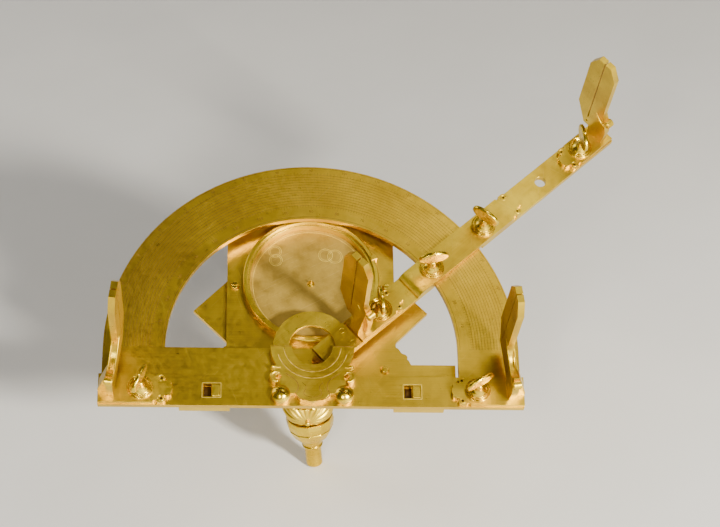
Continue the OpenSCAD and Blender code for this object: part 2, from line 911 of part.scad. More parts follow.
module rivet_holes(s, low, high) {
  for (side = [-1, 1]) {
    drill(s, arm_mid + side * rivet_side, rivet_r + seat_gap, low, high);
  }
}

module arm_rivets() {
  color(dark_gilt)
    on_alidade()
      for (side = [-1, 1]) {
        translate([ring_rivet_s, arm_mid + side * rivet_side, arm_bottom])
          cylinder(r = rivet_r, h = ring_top - arm_bottom);
        translate([bridge_rivet_s, arm_mid + side * rivet_side, arm_bottom])
          cylinder(r = rivet_r, h = bridge_top - arm_bottom);
      }
}

// Ring that turns under the keeper, with a tab along the arm
module alidade_ring() {
  color(pale_gilt)
    on_alidade()
      difference() {
        slab(arm_top, ring_top)
          difference() {
            union() {
              circle(ring_r);
              translate([0, -alidade_w]) square([tab_s, alidade_w]);
            }
            circle(ring_hole_r);
          }
        rivet_holes(ring_rivet_s, arm_top, ring_top);
      }
}

// Inner arm: its corner is the centre of the instrument
module inner_arm() {
  color(gilt)
    on_alidade()
      difference() {
        slab(arm_bottom, arm_top)
          intersection() {
            translate([0, -alidade_w]) square([limb_r, alidade_w]);
            circle(inner_arm_r);
          }
        drill(inner_screw_s, arm_mid, screw_r + fit_gap, arm_bottom, arm_top);
        rivet_holes(ring_rivet_s, arm_bottom, arm_top);
        rivet_holes(bridge_rivet_s, arm_bottom, arm_top);
      }
}

// Bridge over the limb, with a bevelled inner end and a scrolled outer end
module bridge() {
  scroll_s = bridge_end - alidade_w * scroll_share;
  slope = 0.55;
  color(pale_gilt)
    on_alidade()
      difference() {
        slab(arm_top, bridge_top)
          difference() {
            union() {
              translate([bridge_s, -alidade_w]) square([scroll_s - bridge_s, alidade_w]);
              translate([scroll_s, arm_mid]) scroll_end(alidade_w);
            }
            translate([scroll_s, arm_mid]) scroll_cuts(alidade_w);
          }
        translate([bridge_s, over, bridge_top])
          rotate([90, 0, 0])
            linear_extrude(alidade_w + 2 * over)
              polygon([
                [-over, over], [-over, -(bridge_bevel + over) * slope],
                [bridge_bevel + over / slope, over]
              ]);
        drill(clamp_s, arm_mid, screw_r + fit_gap, arm_top, bridge_top);
        drill(splice_s, arm_mid, screw_r + fit_gap, arm_top, bridge_top);
        rivet_holes(bridge_rivet_s, arm_top, bridge_top);
      }
}

// Outer arm, level with the plate, beyond the limb
module outer_arm() {
  color(gilt)
    on_alidade()
      difference() {
        slab(arm_bottom, arm_top)
          translate([outer_arm_s, -alidade_w]) square([alidade_len - outer_arm_s, alidade_w]);
        drill(splice_s, arm_mid, screw_r + fit_gap, arm_bottom, arm_top);
        drill(outer_screw_s, arm_mid, screw_r + fit_gap, arm_bottom, arm_top);
        drill(arm_hole_s, arm_mid, arm_hole_r, arm_bottom, arm_top);
      }
}

// Wing screws: depth reaches almost through the plate or arm below
tip_gap = 0.3;
foot_depth = foot_t + plate_t - tip_gap;
left_turn = 68;
right_turn = 30;
inner_turn = 56;
clamp_turn = -30;
splice_turn = 101;
outer_turn = 56;

module left_wing_screw() {
  color(dark_gilt)
    on_plate() translate([-left_screw_x, bar_mid, foot_t]) wing_screw(foot_depth, left_turn);
}

module right_wing_screw() {
  color(dark_gilt)
    on_plate() translate([fixed_screw_x, bar_mid, foot_t]) wing_screw(foot_depth, right_turn);
}

module inner_wing_screw() {
  color(dark_gilt)
    on_alidade()
      translate([inner_screw_s, arm_mid, arm_top + foot_t]) wing_screw(foot_depth, inner_turn);
}

module clamp_wing_screw() {
  color(dark_gilt)
    on_alidade()
      translate([clamp_s, arm_mid, bridge_top]) wing_screw(bridge_t - tip_gap / 2, clamp_turn);
}

module splice_wing_screw() {
  color(dark_gilt)
    on_alidade()
      translate([splice_s, arm_mid, bridge_top])
        wing_screw(bridge_t + plate_t - tip_gap, splice_turn);
}

module outer_wing_screw() {
  color(dark_gilt)
    on_alidade()
      translate([outer_screw_s, arm_mid, arm_top + foot_t]) wing_screw(foot_depth, outer_turn);
}

staff_shank();
collar_nut();
front_shell();
rear_shell();
ball_stud();
under_plate();
carrier_plate();
carrier_screws();
rear_pillars();
left_latch_pad();
right_latch_pad();
compass_ring();
compass_floor();
compass_pivot();
compass_clip();
limb_plate();
centre_keeper();
keeper_screws();
left_foot();
left_vane();
right_foot();
right_vane();
alidade_ring();
inner_arm();
bridge();
outer_arm();
arm_rivets();
inner_foot();
inner_vane();
outer_foot();
outer_vane();
left_wing_screw();
right_wing_screw();
inner_wing_screw();
clamp_wing_screw();
splice_wing_screw();
outer_wing_screw();
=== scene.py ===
import json
import math

import bmesh
import bpy
from mathutils import Matrix, Vector


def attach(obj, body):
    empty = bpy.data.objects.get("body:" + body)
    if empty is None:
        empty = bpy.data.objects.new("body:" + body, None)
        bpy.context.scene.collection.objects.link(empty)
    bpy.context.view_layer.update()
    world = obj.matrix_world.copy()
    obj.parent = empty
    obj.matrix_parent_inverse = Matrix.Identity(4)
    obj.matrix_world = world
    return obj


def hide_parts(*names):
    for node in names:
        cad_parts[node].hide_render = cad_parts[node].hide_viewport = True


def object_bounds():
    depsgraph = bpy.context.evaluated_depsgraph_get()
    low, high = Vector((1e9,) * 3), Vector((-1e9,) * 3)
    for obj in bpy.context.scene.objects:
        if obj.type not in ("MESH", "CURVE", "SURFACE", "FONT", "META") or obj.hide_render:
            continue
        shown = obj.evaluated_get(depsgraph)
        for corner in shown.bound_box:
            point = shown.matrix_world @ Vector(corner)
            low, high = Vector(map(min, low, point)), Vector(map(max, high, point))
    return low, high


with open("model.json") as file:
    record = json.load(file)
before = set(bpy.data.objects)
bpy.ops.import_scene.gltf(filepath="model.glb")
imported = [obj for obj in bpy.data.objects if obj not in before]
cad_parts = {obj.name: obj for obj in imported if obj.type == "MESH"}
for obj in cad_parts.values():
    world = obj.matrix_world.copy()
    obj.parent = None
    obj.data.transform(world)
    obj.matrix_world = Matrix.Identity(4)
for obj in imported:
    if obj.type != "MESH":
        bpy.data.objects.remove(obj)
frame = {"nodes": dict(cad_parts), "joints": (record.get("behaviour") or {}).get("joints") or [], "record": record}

cad_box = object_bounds()
scene = bpy.context.scene

# Frames in millimetres: the plate's own (pivot at the origin, X along the diameter,
# Z off the engraved face), the alidade's, and the stem's
MM = 0.001
joints = {joint["name"]: joint for joint in frame["joints"]}
turn = joints["alidade_turn"]
normal = Vector(turn["axis"]).normalized()
roll = math.asin(normal.x)
tilt = math.atan2(-normal.y, normal.z)
spin = math.radians(-turn["range_deg"][0])
TURNED = Matrix.Rotation(tilt, 4, "X") @ Matrix.Rotation(roll, 4, "Y")
PLATE = Matrix.Translation(Vector(turn["pos_m"])) @ TURNED @ Matrix.Scale(MM, 4)
ARM = PLATE @ Matrix.Rotation(spin, 4, "Z")
STEM = Matrix.Scale(MM, 4)

bodies = frame["record"]["behaviour"]["bodies"]
body_of = {node: body for body, nodes in bodies.items() for node in nodes}

# Sizes shared with the solids, in millimetres
LIMB_R = 120.0
LIMB_INNER_R = 84.5
BAR_FRONT = 36.0
SLOT_W = 17.4
BAR_MID = -(BAR_FRONT + SLOT_W) / 2
ARM_W = 17.0
ARM_MID = -ARM_W / 2
ARM_TOP = 0.2
FOOT_T = 2.6
BRIDGE_T = 3.2
KEEPER_TOP = 4.2
BALL_Z = 33.0
SHELL_R = 16.0
SHELL_T = 4.2
COMPASS_Y = 46.8
PLATE_T = 3.6
FLOOR_TOP = -11.6
RISE = 0.02          # how far an engraved line stands off its surface


# Materials: noise scales are per millimetre (the ground's per metre), bump depths in metres

PALE = (0.84, 0.595, 0.032)
GOLD = (0.78, 0.51, 0.026)
DEEP = (0.57, 0.35, 0.013)
BRUSH_TONE = (0.94, 0.71, 0.09)
SCRATCH_TONE = (1.0, 0.80, 0.18)
SPECK_TONE = (0.18, 0.09, 0.015)
WORN_SHADE = 0.62                    # share of the deep tone left where the gilding is worn
CLOUD_SCALE, WORN_SCALE, SPECK_SCALE, DENT_SCALE = 0.03, 0.28, 0.75, 0.12
BRUSH_DEPTH, SCRATCH_DEPTH, DENT_DEPTH = 0.00008, -0.00004, 0.0008
LONG_SCRATCH = ((0.03, 2.6, 2.6), 0.8, 0.68)         # scale, turn, and the level where it starts
CROSS_SCRATCH = ((2.2, 0.025, 2.2), 0.35, 0.69)
SCRATCH_FADE = 0.06
GRAIN_ROUND, GRAIN_ACROSS = 5.0, 2.6                 # on the limb: per radian, and per millimetre
ALONG_X = (0.03, 1.9, 1.9)
ALONG_ARM = (0.03, 2.0, 2.0)
ALONG_Z = (2.0, 2.0, 0.04)
ROUGH_CAST = (0.06, 1.6, 1.6)
ROUND_Z = (0.12, 0.12, 2.6)


class Web:
    """Builds the nodes of one material."""

    def __init__(self, name):
        self.mat = bpy.data.materials.new(name)
        self.mat.use_nodes = True
        self.tree = self.mat.node_tree
        self.tree.nodes.clear()
        self.out = self.add("ShaderNodeOutputMaterial")
        self.bsdf = self.add("ShaderNodeBsdfPrincipled")
        self.join(self.bsdf.outputs[0], self.out.inputs["Surface"])

    def add(self, kind, **values):
        node = self.tree.nodes.new(kind)
        for key, value in values.items():
            setattr(node, key, value)
        return node

    def join(self, a, b):
        self.tree.links.new(a, b)

    def flat(self):
        """The place on the piece in its own millimetres."""
        return self.add("ShaderNodeAttribute", attribute_name="flat").outputs["Vector"]

    def noise(self, vector, scale, detail, rough):
        node = self.add("ShaderNodeTexNoise")
        node.inputs["Scale"].default_value = scale
        node.inputs["Detail"].default_value = detail
        node.inputs["Roughness"].default_value = rough
        self.join(vector, node.inputs["Vector"])
        return node.outputs["Fac"]

    def stretched(self, vector, scale, turn_z=0.0):
        """The vector turned back about Z, then scaled on each axis."""
        node = self.add("ShaderNodeMapping", vector_type="TEXTURE")
        node.inputs["Scale"].default_value = tuple(1 / s for s in scale)
        node.inputs["Rotation"].default_value = (0, 0, turn_z)
        self.join(vector, node.inputs["Vector"])
        return node.outputs[0]

    def ramp(self, fac, stops):
        node = self.add("ShaderNodeValToRGB")
        while len(node.color_ramp.elements) < len(stops):
            node.color_ramp.elements.new(0.5)
        for element, (place, colour) in zip(node.color_ramp.elements, stops):
            element.position = place
            element.color = (*colour, 1)
        self.join(fac, node.inputs["Fac"])
        return node.outputs["Color"]

    def span(self, fac, low, high, to_low, to_high):
        """The values from low to high, moved to the range from to_low to to_high."""
        node = self.add("ShaderNodeMapRange")
        node.inputs["From Min"].default_value = low
        node.inputs["From Max"].default_value = high
        node.inputs["To Min"].default_value = to_low
        node.inputs["To Max"].default_value = to_high
        self.join(fac, node.inputs["Value"])
        return node.outputs[0]

    def fill(self, socket, value):
        """Sets a socket to a number or a colour, or joins another socket to it."""
        if isinstance(value, (int, float)):
            socket.default_value = value
        elif isinstance(value, tuple):
            socket.default_value = (*value, 1)
        else:
            self.join(value, socket)

    def maths(self, what, *values):
        node = self.add("ShaderNodeMath", operation=what)
        for value, socket in zip(values, node.inputs):
            self.fill(socket, value)
        return node.outputs[0]

    def mix(self, fac, a, b):
        """Two colours, mixed."""
        node = self.add("ShaderNodeMix", data_type="RGBA")
        for place, value in ((0, fac), (6, a), (7, b)):
            self.fill(node.inputs[place], value)
        return node.outputs[2]

    def round_grain(self, flat, straight):
        """Grain that runs round the centre above the diameter and straight below it."""
        parts = self.add("ShaderNodeSeparateXYZ")
        self.join(flat, parts.inputs[0])
        x, y = parts.outputs[0], parts.outputs[1]
        squares = [self.maths("MULTIPLY", axis, axis) for axis in (x, y)]
        radius = self.maths("SQRT", self.maths("ADD", *squares))
        bearing = self.maths("ARCTAN2", y, x)
        wrapped = self.add("ShaderNodeCombineXYZ")
        self.join(self.maths("MULTIPLY", bearing, GRAIN_ROUND), wrapped.inputs[0])
        self.join(self.maths("MULTIPLY", radius, GRAIN_ACROSS), wrapped.inputs[1])
        chosen = self.add("ShaderNodeMix", data_type="VECTOR")
        self.join(self.maths("GREATER_THAN", y, 0.0), chosen.inputs[0])
        self.join(straight, chosen.inputs[4])
        self.join(wrapped.outputs[0], chosen.inputs[5])
        return chosen.outputs[1]

    def scratches(self, flat, kind):
        scale, turned, level = kind
        streaks = self.noise(self.stretched(flat, scale, turned), 1.0, 2.0, 0.4)
        return self.span(streaks, level, level + SCRATCH_FADE, 0.0, 1.0)

    def bump(self, height, strength, distance, under=None):
        node = self.add("ShaderNodeBump")
        node.inputs["Strength"].default_value = strength
        node.inputs["Distance"].default_value = distance
        self.join(height, node.inputs["Height"])
        if under is not None:
            self.join(under, node.inputs["Normal"])
        return node.outputs[0]


def gilt(name, light, rough, grain, wear=0.22, specks=0.12, dents=0.10, round_limb=False):
    """Gilt brass: cloudy gilding, a brushed grain, fine scratches, specks and shallow dents."""
    web = Web(name)
    flat = web.flat()
    along = web.stretched(flat, grain)
    if round_limb:
        along = web.round_grain(flat, along)
    brush = web.noise(along, 1.0, 4.0, 0.55)
    cloud = web.noise(flat, CLOUD_SCALE, 4.0, 0.6)
    worn = web.noise(flat, WORN_SCALE, 5.0, 0.62)
    lines = web.maths("MAXIMUM", web.scratches(flat, LONG_SCRATCH), web.scratches(flat, CROSS_SCRATCH))
    speck = web.span(web.noise(flat, SPECK_SCALE, 2.0, 0.5), 0.70, 0.77, 0.0, specks)
    colour = web.mix(web.span(cloud, 0.38, 0.66, 0.0, 1.0), light, DEEP)
    colour = web.mix(web.span(worn, 0.52, 0.78, 0.0, wear), colour, tuple(WORN_SHADE * c for c in DEEP))
    colour = web.mix(web.span(brush, 0.35, 0.7, 0.0, 0.18), colour, BRUSH_TONE)
    colour = web.mix(web.maths("MULTIPLY", lines, 0.30), colour, SCRATCH_TONE)
    colour = web.mix(speck, colour, SPECK_TONE)
    web.join(colour, web.bsdf.inputs["Base Color"])
    web.bsdf.inputs["Metallic"].default_value = 1.0
    polish = web.maths("ADD", web.span(worn, 0.3, 0.75, rough - 0.05, rough + 0.08),
                       web.span(brush, 0.3, 0.7, -0.03, 0.03))
    polish = web.maths("ADD", polish, web.maths("MULTIPLY", speck, 0.3))
    web.join(polish, web.bsdf.inputs["Roughness"])
    height = web.bump(brush, 0.6, BRUSH_DEPTH)
    height = web.bump(lines, 0.30, SCRATCH_DEPTH, height)
    height = web.bump(web.noise(flat, DENT_SCALE, 2.0, 0.4), dents, DENT_DEPTH, height)
    web.join(height, web.bsdf.inputs["Normal"])
    return web.mat


def copper(name):
    """The dull, coppery floor of the compass box, with stains and fine rubbing."""
    web = Web(name)
    flat = web.flat()
    stain = web.noise(flat, 0.11, 5.0, 0.62)
    fine = web.noise(flat, 0.9, 4.0, 0.6)
    rub = web.noise(web.stretched(flat, (0.06, 2.2, 2.2), 0.5), 1.0, 3.0, 0.5)
    colour = web.ramp(stain, [(0.30, (0.42, 0.27, 0.040)), (0.46, (0.53, 0.35, 0.060)),
                              (0.62, (0.59, 0.40, 0.075)), (0.80, (0.48, 0.32, 0.050))])
    colour = web.mix(web.span(fine, 0.45, 0.75, 0.0, 0.3), colour, (0.46, 0.29, 0.06))
    colour = web.mix(web.span(rub, 0.62, 0.74, 0.0, 0.25), colour, (0.90, 0.66, 0.22))
    web.join(colour, web.bsdf.inputs["Base Color"])
    web.bsdf.inputs["Metallic"].default_value = 0.95
    web.join(web.span(stain, 0.3, 0.7, 0.46, 0.58), web.bsdf.inputs["Roughness"])
    height = web.bump(fine, 0.3, 0.0001)
    web.join(web.bump(rub, 0.25, -0.00006, height), web.bsdf.inputs["Normal"])
    return web.mat


def engraved(name, light, dark):
    """Flat lines and fills of an unevenly varied tone: old wax and dirt in cut lines, painted shade in the dark
    fill, painted highlight and bright cuts in the bright line.
    """
    web = Web(name)
    fill = web.noise(web.flat(), 0.4, 4.0, 0.6)
    web.join(web.ramp(fill, [(0.36, dark), (0.64, light)]), web.bsdf.inputs["Base Color"])
    web.bsdf.inputs["Metallic"].default_value = 0.9
    web.join(web.span(fill, 0.3, 0.7, 0.42, 0.66), web.bsdf.inputs["Roughness"])
    return web.mat


def ground(name):
    """The pale, matt floor."""
    web = Web(name)
    place = web.add("ShaderNodeTexCoord").outputs["Object"]
    tone = web.noise(place, 6.0, 4.0, 0.6)
    web.join(web.ramp(tone, [(0.3, (0.76, 0.752, 0.738)), (0.7, (0.80, 0.792, 0.778))]),
             web.bsdf.inputs["Base Color"])
    web.join(web.span(tone, 0.3, 0.7, 0.55, 0.7), web.bsdf.inputs["Roughness"])
    return web.mat


plate_gilt = gilt("plate_gilt", GOLD, 0.33, ALONG_X, specks=0.06)
limb_gilt = gilt("limb_gilt", GOLD, 0.33, ALONG_X, specks=0.10, round_limb=True)
arm_gilt = gilt("arm_gilt", PALE, 0.33, ALONG_ARM)
vane_gilt = gilt("vane_gilt", PALE, 0.32, ALONG_Z)
cast_gilt = gilt("cast_gilt", PALE, 0.36, ROUGH_CAST, wear=0.12, dents=0.05)
turned_gilt = gilt("turned_gilt", PALE, 0.24, ROUND_Z, wear=0.15, specks=0.06)
copper_floor = copper("copper_floor")
# Dark tone of cut lines filled with old wax and dirt; it also draws a painted shade line along the keeper's back
# edge
cut_and_shade_line = engraved("cut_and_shade_line", (0.42, 0.22, 0.035), (0.20, 0.09, 0.012))
faint_line = engraved("faint_line", (0.62, 0.38, 0.04), (0.42, 0.24, 0.02))
# Bright tone: painted highlight round the latch window rims and beside the keeper's cut arcs, and the tone of the
# circles cut in the compass floor
bright_cut_and_highlight = engraved("bright_cut_and_highlight", (0.96, 0.74, 0.14), (0.80, 0.56, 0.06))
# Near-black tone for painted shade: discs down in the scroll eye holes, half of each latch window's opening, the
# keeper screws' slots
painted_shade_fill = engraved("painted_shade_fill", (0.09, 0.045, 0.008), (0.035, 0.016, 0.004))


# Building blocks

WELD = 2e-6                          # vertices nearer than this, in metres, are one
FLAT_ANGLE = math.radians(0.6)       # faces that meet at less than this are one


def add_piece(name, mesh, home, body, material, stands_for=None):
    """A finished piece: its mesh is in row metres, home gives its own millimetres."""
    mesh.materials.clear()
    mesh.materials.append(material)
    inverse = home.inverted()
    flat = mesh.attributes.new("flat", "FLOAT_VECTOR", "POINT")
    values = [c for v in mesh.vertices for c in inverse @ v.co]
    flat.data.foreach_set("vector", values)
    obj = bpy.data.objects.new(name, mesh)
    scene.collection.objects.link(obj)
    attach(obj, body)
    if stands_for:
        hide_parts(stands_for)
    return obj


def to_mesh(bm, name):
    mesh = bpy.data.meshes.new(name)
    bm.to_mesh(mesh)
    bm.free()
    return mesh


def from_bmesh(bm, name, home, body, material, stands_for=None):
    """Turns a bmesh in home millimetres into a smooth piece."""
    bmesh.ops.recalc_face_normals(bm, faces=bm.faces)
    for face in bm.faces:
        face.smooth = True
    mesh = to_mesh(bm, name)
    mesh.transform(home)
    return add_piece(name, mesh, home, body, material, stands_for)


def lines_piece(bm, name, home, body, material):
    """Turns flat faces in home millimetres into a piece, with every face up."""
    for face in bm.faces:
        if face.normal.z < 0:
            face.normal_flip()
    mesh = to_mesh(bm, name)
    mesh.transform(home)
    return add_piece(name, mesh, home, body, material)


def keep_flats_flat(obj):
    weighted = obj.modifiers.new("flats", "WEIGHTED_NORMAL")
    weighted.mode = "FACE_AREA"
    weighted.weight = 100
    weighted.keep_sharp = False


def dress(node, home, material, edge, steps=2, corner=30):
    """The node's own shape with its sharp edges eased; edge is in millimetres."""
    bm = bmesh.new()
    bm.from_mesh(frame["nodes"][node].data)
    bmesh.ops.remove_doubles(bm, verts=bm.verts, dist=WELD)
    bmesh.ops.dissolve_limit(bm, angle_limit=FLAT_ANGLE, verts=bm.verts, edges=bm.edges)
    limit = math.radians(corner)
    sharp = [e for e in bm.edges if len(e.link_faces) == 2 and e.calc_face_angle(0) > limit]
    bmesh.ops.bevel(bm, geom=sharp, offset=edge * MM, offset_type="OFFSET", segments=steps,
                    profile=0.7, affect="EDGES", clamp_overlap=True)
    for face in bm.faces:
        face.smooth = True
    name = node + "_dressed"
    keep_flats_flat(add_piece(name, to_mesh(bm, name), home, body_of[node], material, node))


def lathe(bm, profile, segments, place=Matrix.Identity(4)):
    """Turns a profile of (radius, height) about Z."""
    rings = []
    for r, z in profile:
        if r < 1e-6:
            rings.append([bm.verts.new(place @ Vector((0, 0, z)))])
            continue
        ring = []
        for k in range(segments):
            a = 2 * math.pi * k / segments
            ring.append(bm.verts.new(place @ Vector((r * math.cos(a), r * math.sin(a), z))))
        rings.append(ring)
    for low, high in zip(rings, rings[1:]):
        for k in range(segments):
            m = (k + 1) % segments
            if len(low) == 1:
                bm.faces.new((low[0], high[k], high[m]))
            elif len(high) == 1:
                bm.faces.new((low[k], low[m], high[0]))
            else:
                bm.faces.new((low[k], low[m], high[m], high[k]))


def bridge_rings(bm, rings):
    """Faces between rings of as many vertices each."""
    count = len(rings[0])
    for low, high in zip(rings, rings[1:]):
        for s in range(count):
            m = (s + 1) % count
            bm.faces.new((low[s], low[m], high[m], high[s]))


def ball(bm, centre, radius, place=Matrix.Identity(4)):
    bmesh.ops.create_uvsphere(bm, u_segments=20, v_segments=12, radius=radius,
                              matrix=place @ Matrix.Translation(centre))


def tube(bm, path, radii, place=Matrix.Identity(4), sides=10):
    """A round bead along a level path; radii gives one radius a point."""
    up = Vector((0, 0, 1))
    rings = []
    for k, p in enumerate(path):
        ahead = path[min(k + 1, len(path) - 1)] - path[max(k - 1, 0)]
        side = up.cross(ahead).normalized()
        ring = []
        for s in range(sides):
            a = 2 * math.pi * s / sides
            ring.append(bm.verts.new(place @ (p + (side * math.cos(a) + up * math.sin(a)) * radii[k])))
        rings.append(ring)
    bridge_rings(bm, rings)
    bm.faces.new(list(reversed(rings[0])))
    bm.faces.new(rings[-1])


def spiral(centre, outer, inner, start, turns, z, steps=40):
    """Points of a volute, from its outer end to its eye; negative turns run clockwise."""
    points = []
    for k in range(steps + 1):
        t = k / steps
        r = outer + (inner - outer) * t ** 0.8
        a = math.radians(start) + 2 * math.pi * turns * t
        points.append(Vector((centre[0] + r * math.cos(a), centre[1] + r * math.sin(a), z)))
    return points


def tapered(count, first, last):
    return [first + (last - first) * k / (count - 1) for k in range(count)]


def ribbon(bm, points, width, z):
    """A flat line of the given width along points in the plane."""
    last = len(points) - 1
    pairs = []
    for k, (x, y) in enumerate(points):
        before, after = points[max(k - 1, 0)], points[min(k + 1, last)]
        dx, dy = after[0] - before[0], after[1] - before[1]
        size = math.hypot(dx, dy) or 1.0
        nx, ny = -dy / size * width / 2, dx / size * width / 2
        pairs.append((bm.verts.new((x + nx, y + ny, z)), bm.verts.new((x - nx, y - ny, z))))
    for a, b in zip(pairs, pairs[1:]):
        bm.faces.new((a[0], a[1], b[1], b[0]))


def polar(r, degrees, cx=0.0, cy=0.0):
    a = math.radians(degrees)
    return cx + r * math.cos(a), cy + r * math.sin(a)


def arc(r, low, high, steps, cx=0.0, cy=0.0):
    return [polar(r, angle, cx, cy) for angle in tapered(steps + 1, low, high)]


def eased(points, steps=8):
    """A smooth path through all the points."""
    path = []
    ends = [points[0]] + list(points) + [points[-1]]
    for before, start, end, after in zip(ends, ends[1:], ends[2:], ends[3:]):
        for k in range(steps):
            t = k / steps
            path.append(tuple(
                0.5 * (2 * q + (r - p) * t + (2 * p - 5 * q + 4 * r - s) * t ** 2
                       + (3 * q - p - 3 * r + s) * t ** 3)
                for p, q, r, s in zip(before, start, end, after)))
    return path + [points[-1]]


# The solids, with eased edges

dress("limb_plate", PLATE, limb_gilt, 0.3)
dress("carrier_plate", PLATE, plate_gilt, 0.3)
dress("under_plate", PLATE, plate_gilt, 0.3)
dress("left_latch_pad", PLATE, cast_gilt, 0.4)
dress("right_latch_pad", PLATE, cast_gilt, 0.4)
dress("rear_pillars", PLATE, turned_gilt, 0.2)
dress("carrier_screws", PLATE, turned_gilt, 0.15)
dress("compass_ring", PLATE, arm_gilt, 0.2)
dress("compass_floor", PLATE, copper_floor, 0.1)
dress("compass_pivot", PLATE, turned_gilt, 0.05)
dress("compass_clip", PLATE, plate_gilt, 0.25)
dress("centre_keeper", PLATE, cast_gilt, 0.3)
dress("keeper_screws", PLATE, turned_gilt, 0.15)
for side in ("left", "right"):
    dress(side + "_foot", PLATE, cast_gilt, 0.4, steps=3)
    dress(side + "_vane", PLATE, vane_gilt, 0.6, steps=3)
dress("alidade_ring", ARM, arm_gilt, 0.3)
dress("inner_arm", ARM, arm_gilt, 0.25)
dress("outer_arm", ARM, arm_gilt, 0.25)
dress("bridge", ARM, arm_gilt, 0.35)
dress("arm_rivets", ARM, arm_gilt, 0.1)
for end in ("inner", "outer"):
    dress(end + "_foot", ARM, cast_gilt, 0.4, steps=3)
    dress(end + "_vane", ARM, vane_gilt, 0.6, steps=3)
dress("staff_shank", STEM, turned_gilt, 0.2)
dress("collar_nut", STEM, turned_gilt, 0.35, corner=12)
dress("ball_stud", PLATE, turned_gilt, 0.2)


# The divided limb

FIRST_CIRCLE = 93.6
CIRCLE_STEP = 1.75
CIRCLES = 13
LAST_CIRCLE = FIRST_CIRCLE + CIRCLE_STEP * (CIRCLES - 1)
CIRCLE_W, EDGE_CIRCLE_W, TICK_W, TRANSVERSAL_W = 0.20, 0.22, 0.14, 0.10
INNER_MARGIN, OUTER_MARGIN = 1.4, 1.0
TEN_TICK, FIVE_TICK, ONE_TICK = 2.6, 2.0, 1.3
OUTER_NUMBER_R, OUTER_NUMBER_SIZE = LAST_CIRCLE + 2.75, 2.2
INNER_NUMBER_R, INNER_NUMBER_SIZE = FIRST_CIRCLE - 4.4, 2.6

bm = bmesh.new()
for k in range(CIRCLES):
    ribbon(bm, arc(FIRST_CIRCLE + CIRCLE_STEP * k, 0, 180, 180), CIRCLE_W, RISE)
for r in (LIMB_INNER_R + INNER_MARGIN, LIMB_R - OUTER_MARGIN):
    ribbon(bm, arc(r, 0, 180, 180), EDGE_CIRCLE_W, RISE)
for degree in range(0, 181):
    reach = TEN_TICK if degree % 10 == 0 else FIVE_TICK if degree % 5 == 0 else ONE_TICK
    for low, high in ((LAST_CIRCLE, LAST_CIRCLE + reach), (FIRST_CIRCLE - reach, FIRST_CIRCLE)):
        ribbon(bm, [polar(low, degree), polar(high, degree)], TICK_W, RISE)
lines_piece(bm, "limb_circles", PLATE, "table", cut_and_shade_line)

# Transversals across the circles
bm = bmesh.new()
for degree in range(0, 180):
    ribbon(bm, [polar(FIRST_CIRCLE, degree), polar(LAST_CIRCLE, degree + 1)], TRANSVERSAL_W, RISE / 2)
lines_piece(bm, "limb_transversals", PLATE, "table", faint_line)


def add_number(bm, text, x, y, angle, size):
    """A plain number, flat in the plane of the plate's face."""
    curve = bpy.data.curves.new("number", "FONT")
    curve.body = text
    curve.size = size
    curve.align_x = "CENTER"
    curve.align_y = "CENTER"
    curve.resolution_u = 3
    holder = bpy.data.objects.new("number", curve)
    scene.collection.objects.link(holder)
    bpy.context.view_layer.update()
    mesh = bpy.data.meshes.new_from_object(holder)
    mesh.transform(Matrix.Translation((x, y, RISE)) @ Matrix.Rotation(math.radians(angle), 4, "Z"))
    bm.from_mesh(mesh)
    bpy.data.objects.remove(holder)
    bpy.data.curves.remove(curve)
    bpy.data.meshes.remove(mesh)


bm = bmesh.new()
for degree in range(10, 180, 10):
    add_number(bm, str(180 - degree), *polar(OUTER_NUMBER_R, degree), degree - 90, OUTER_NUMBER_SIZE)
    add_number(bm, str(degree), *polar(INNER_NUMBER_R, degree), degree - 90, INNER_NUMBER_SIZE)
lines_piece(bm, "limb_numbers", PLATE, "table", cut_and_shade_line)


# Wing screws

WING_L, WING_H, WING_T = 18.0, 11.0, 2.4
WING_Z = 13.3
WING_STEPS = 56
WING_POWER_X, WING_POWER_Z = 0.92, 0.95     # below 1, the oval is a little squarer
WING_BEAD_R = 1.0
# Share of the wing's outline, and of its thickness there, from the middle to the rim
WING_SECTION = ((0.45, 0.92), (0.7, 1.0), (0.86, 1.0), (0.93, 0.92),
                (0.975, 0.72), (0.995, 0.42), (1.0, 0.15))
SCREW_R, SCREW_EASE = 1.9, 0.3
SCREW_SEGMENTS = 64
# Ringed washer and bell with a narrow neck, as (radius, height above the seat)
WASHER = ((7.1, 0.0), (7.4, 0.25), (7.4, 0.75), (7.25, 1.05), (7.0, 1.2), (6.8, 1.05), (6.6, 0.8))
BELL = ((6.4, 0.8), (6.25, 1.1), (6.2, 1.6), (6.1, 1.9), (5.8, 2.05), (5.5, 1.85), (5.2, 1.6),
        (4.95, 1.65), (4.7, 2.0), (4.3, 2.7), (3.6, 3.3), (2.95, 4.0), (2.5, 5.0), (2.25, 6.2),
        (2.1, 7.6), (1.9, 8.3), (1.2, 8.6), (0, 8.6))
# Depth of a screw below its seat: through a foot, on the limb, and through the spliced arm
FOOT_DEPTH, CLAMP_DEPTH, SPLICE_DEPTH = 5.9, 3.05, 6.5


def powered(value, power):
    return math.copysign(abs(value) ** power, value)


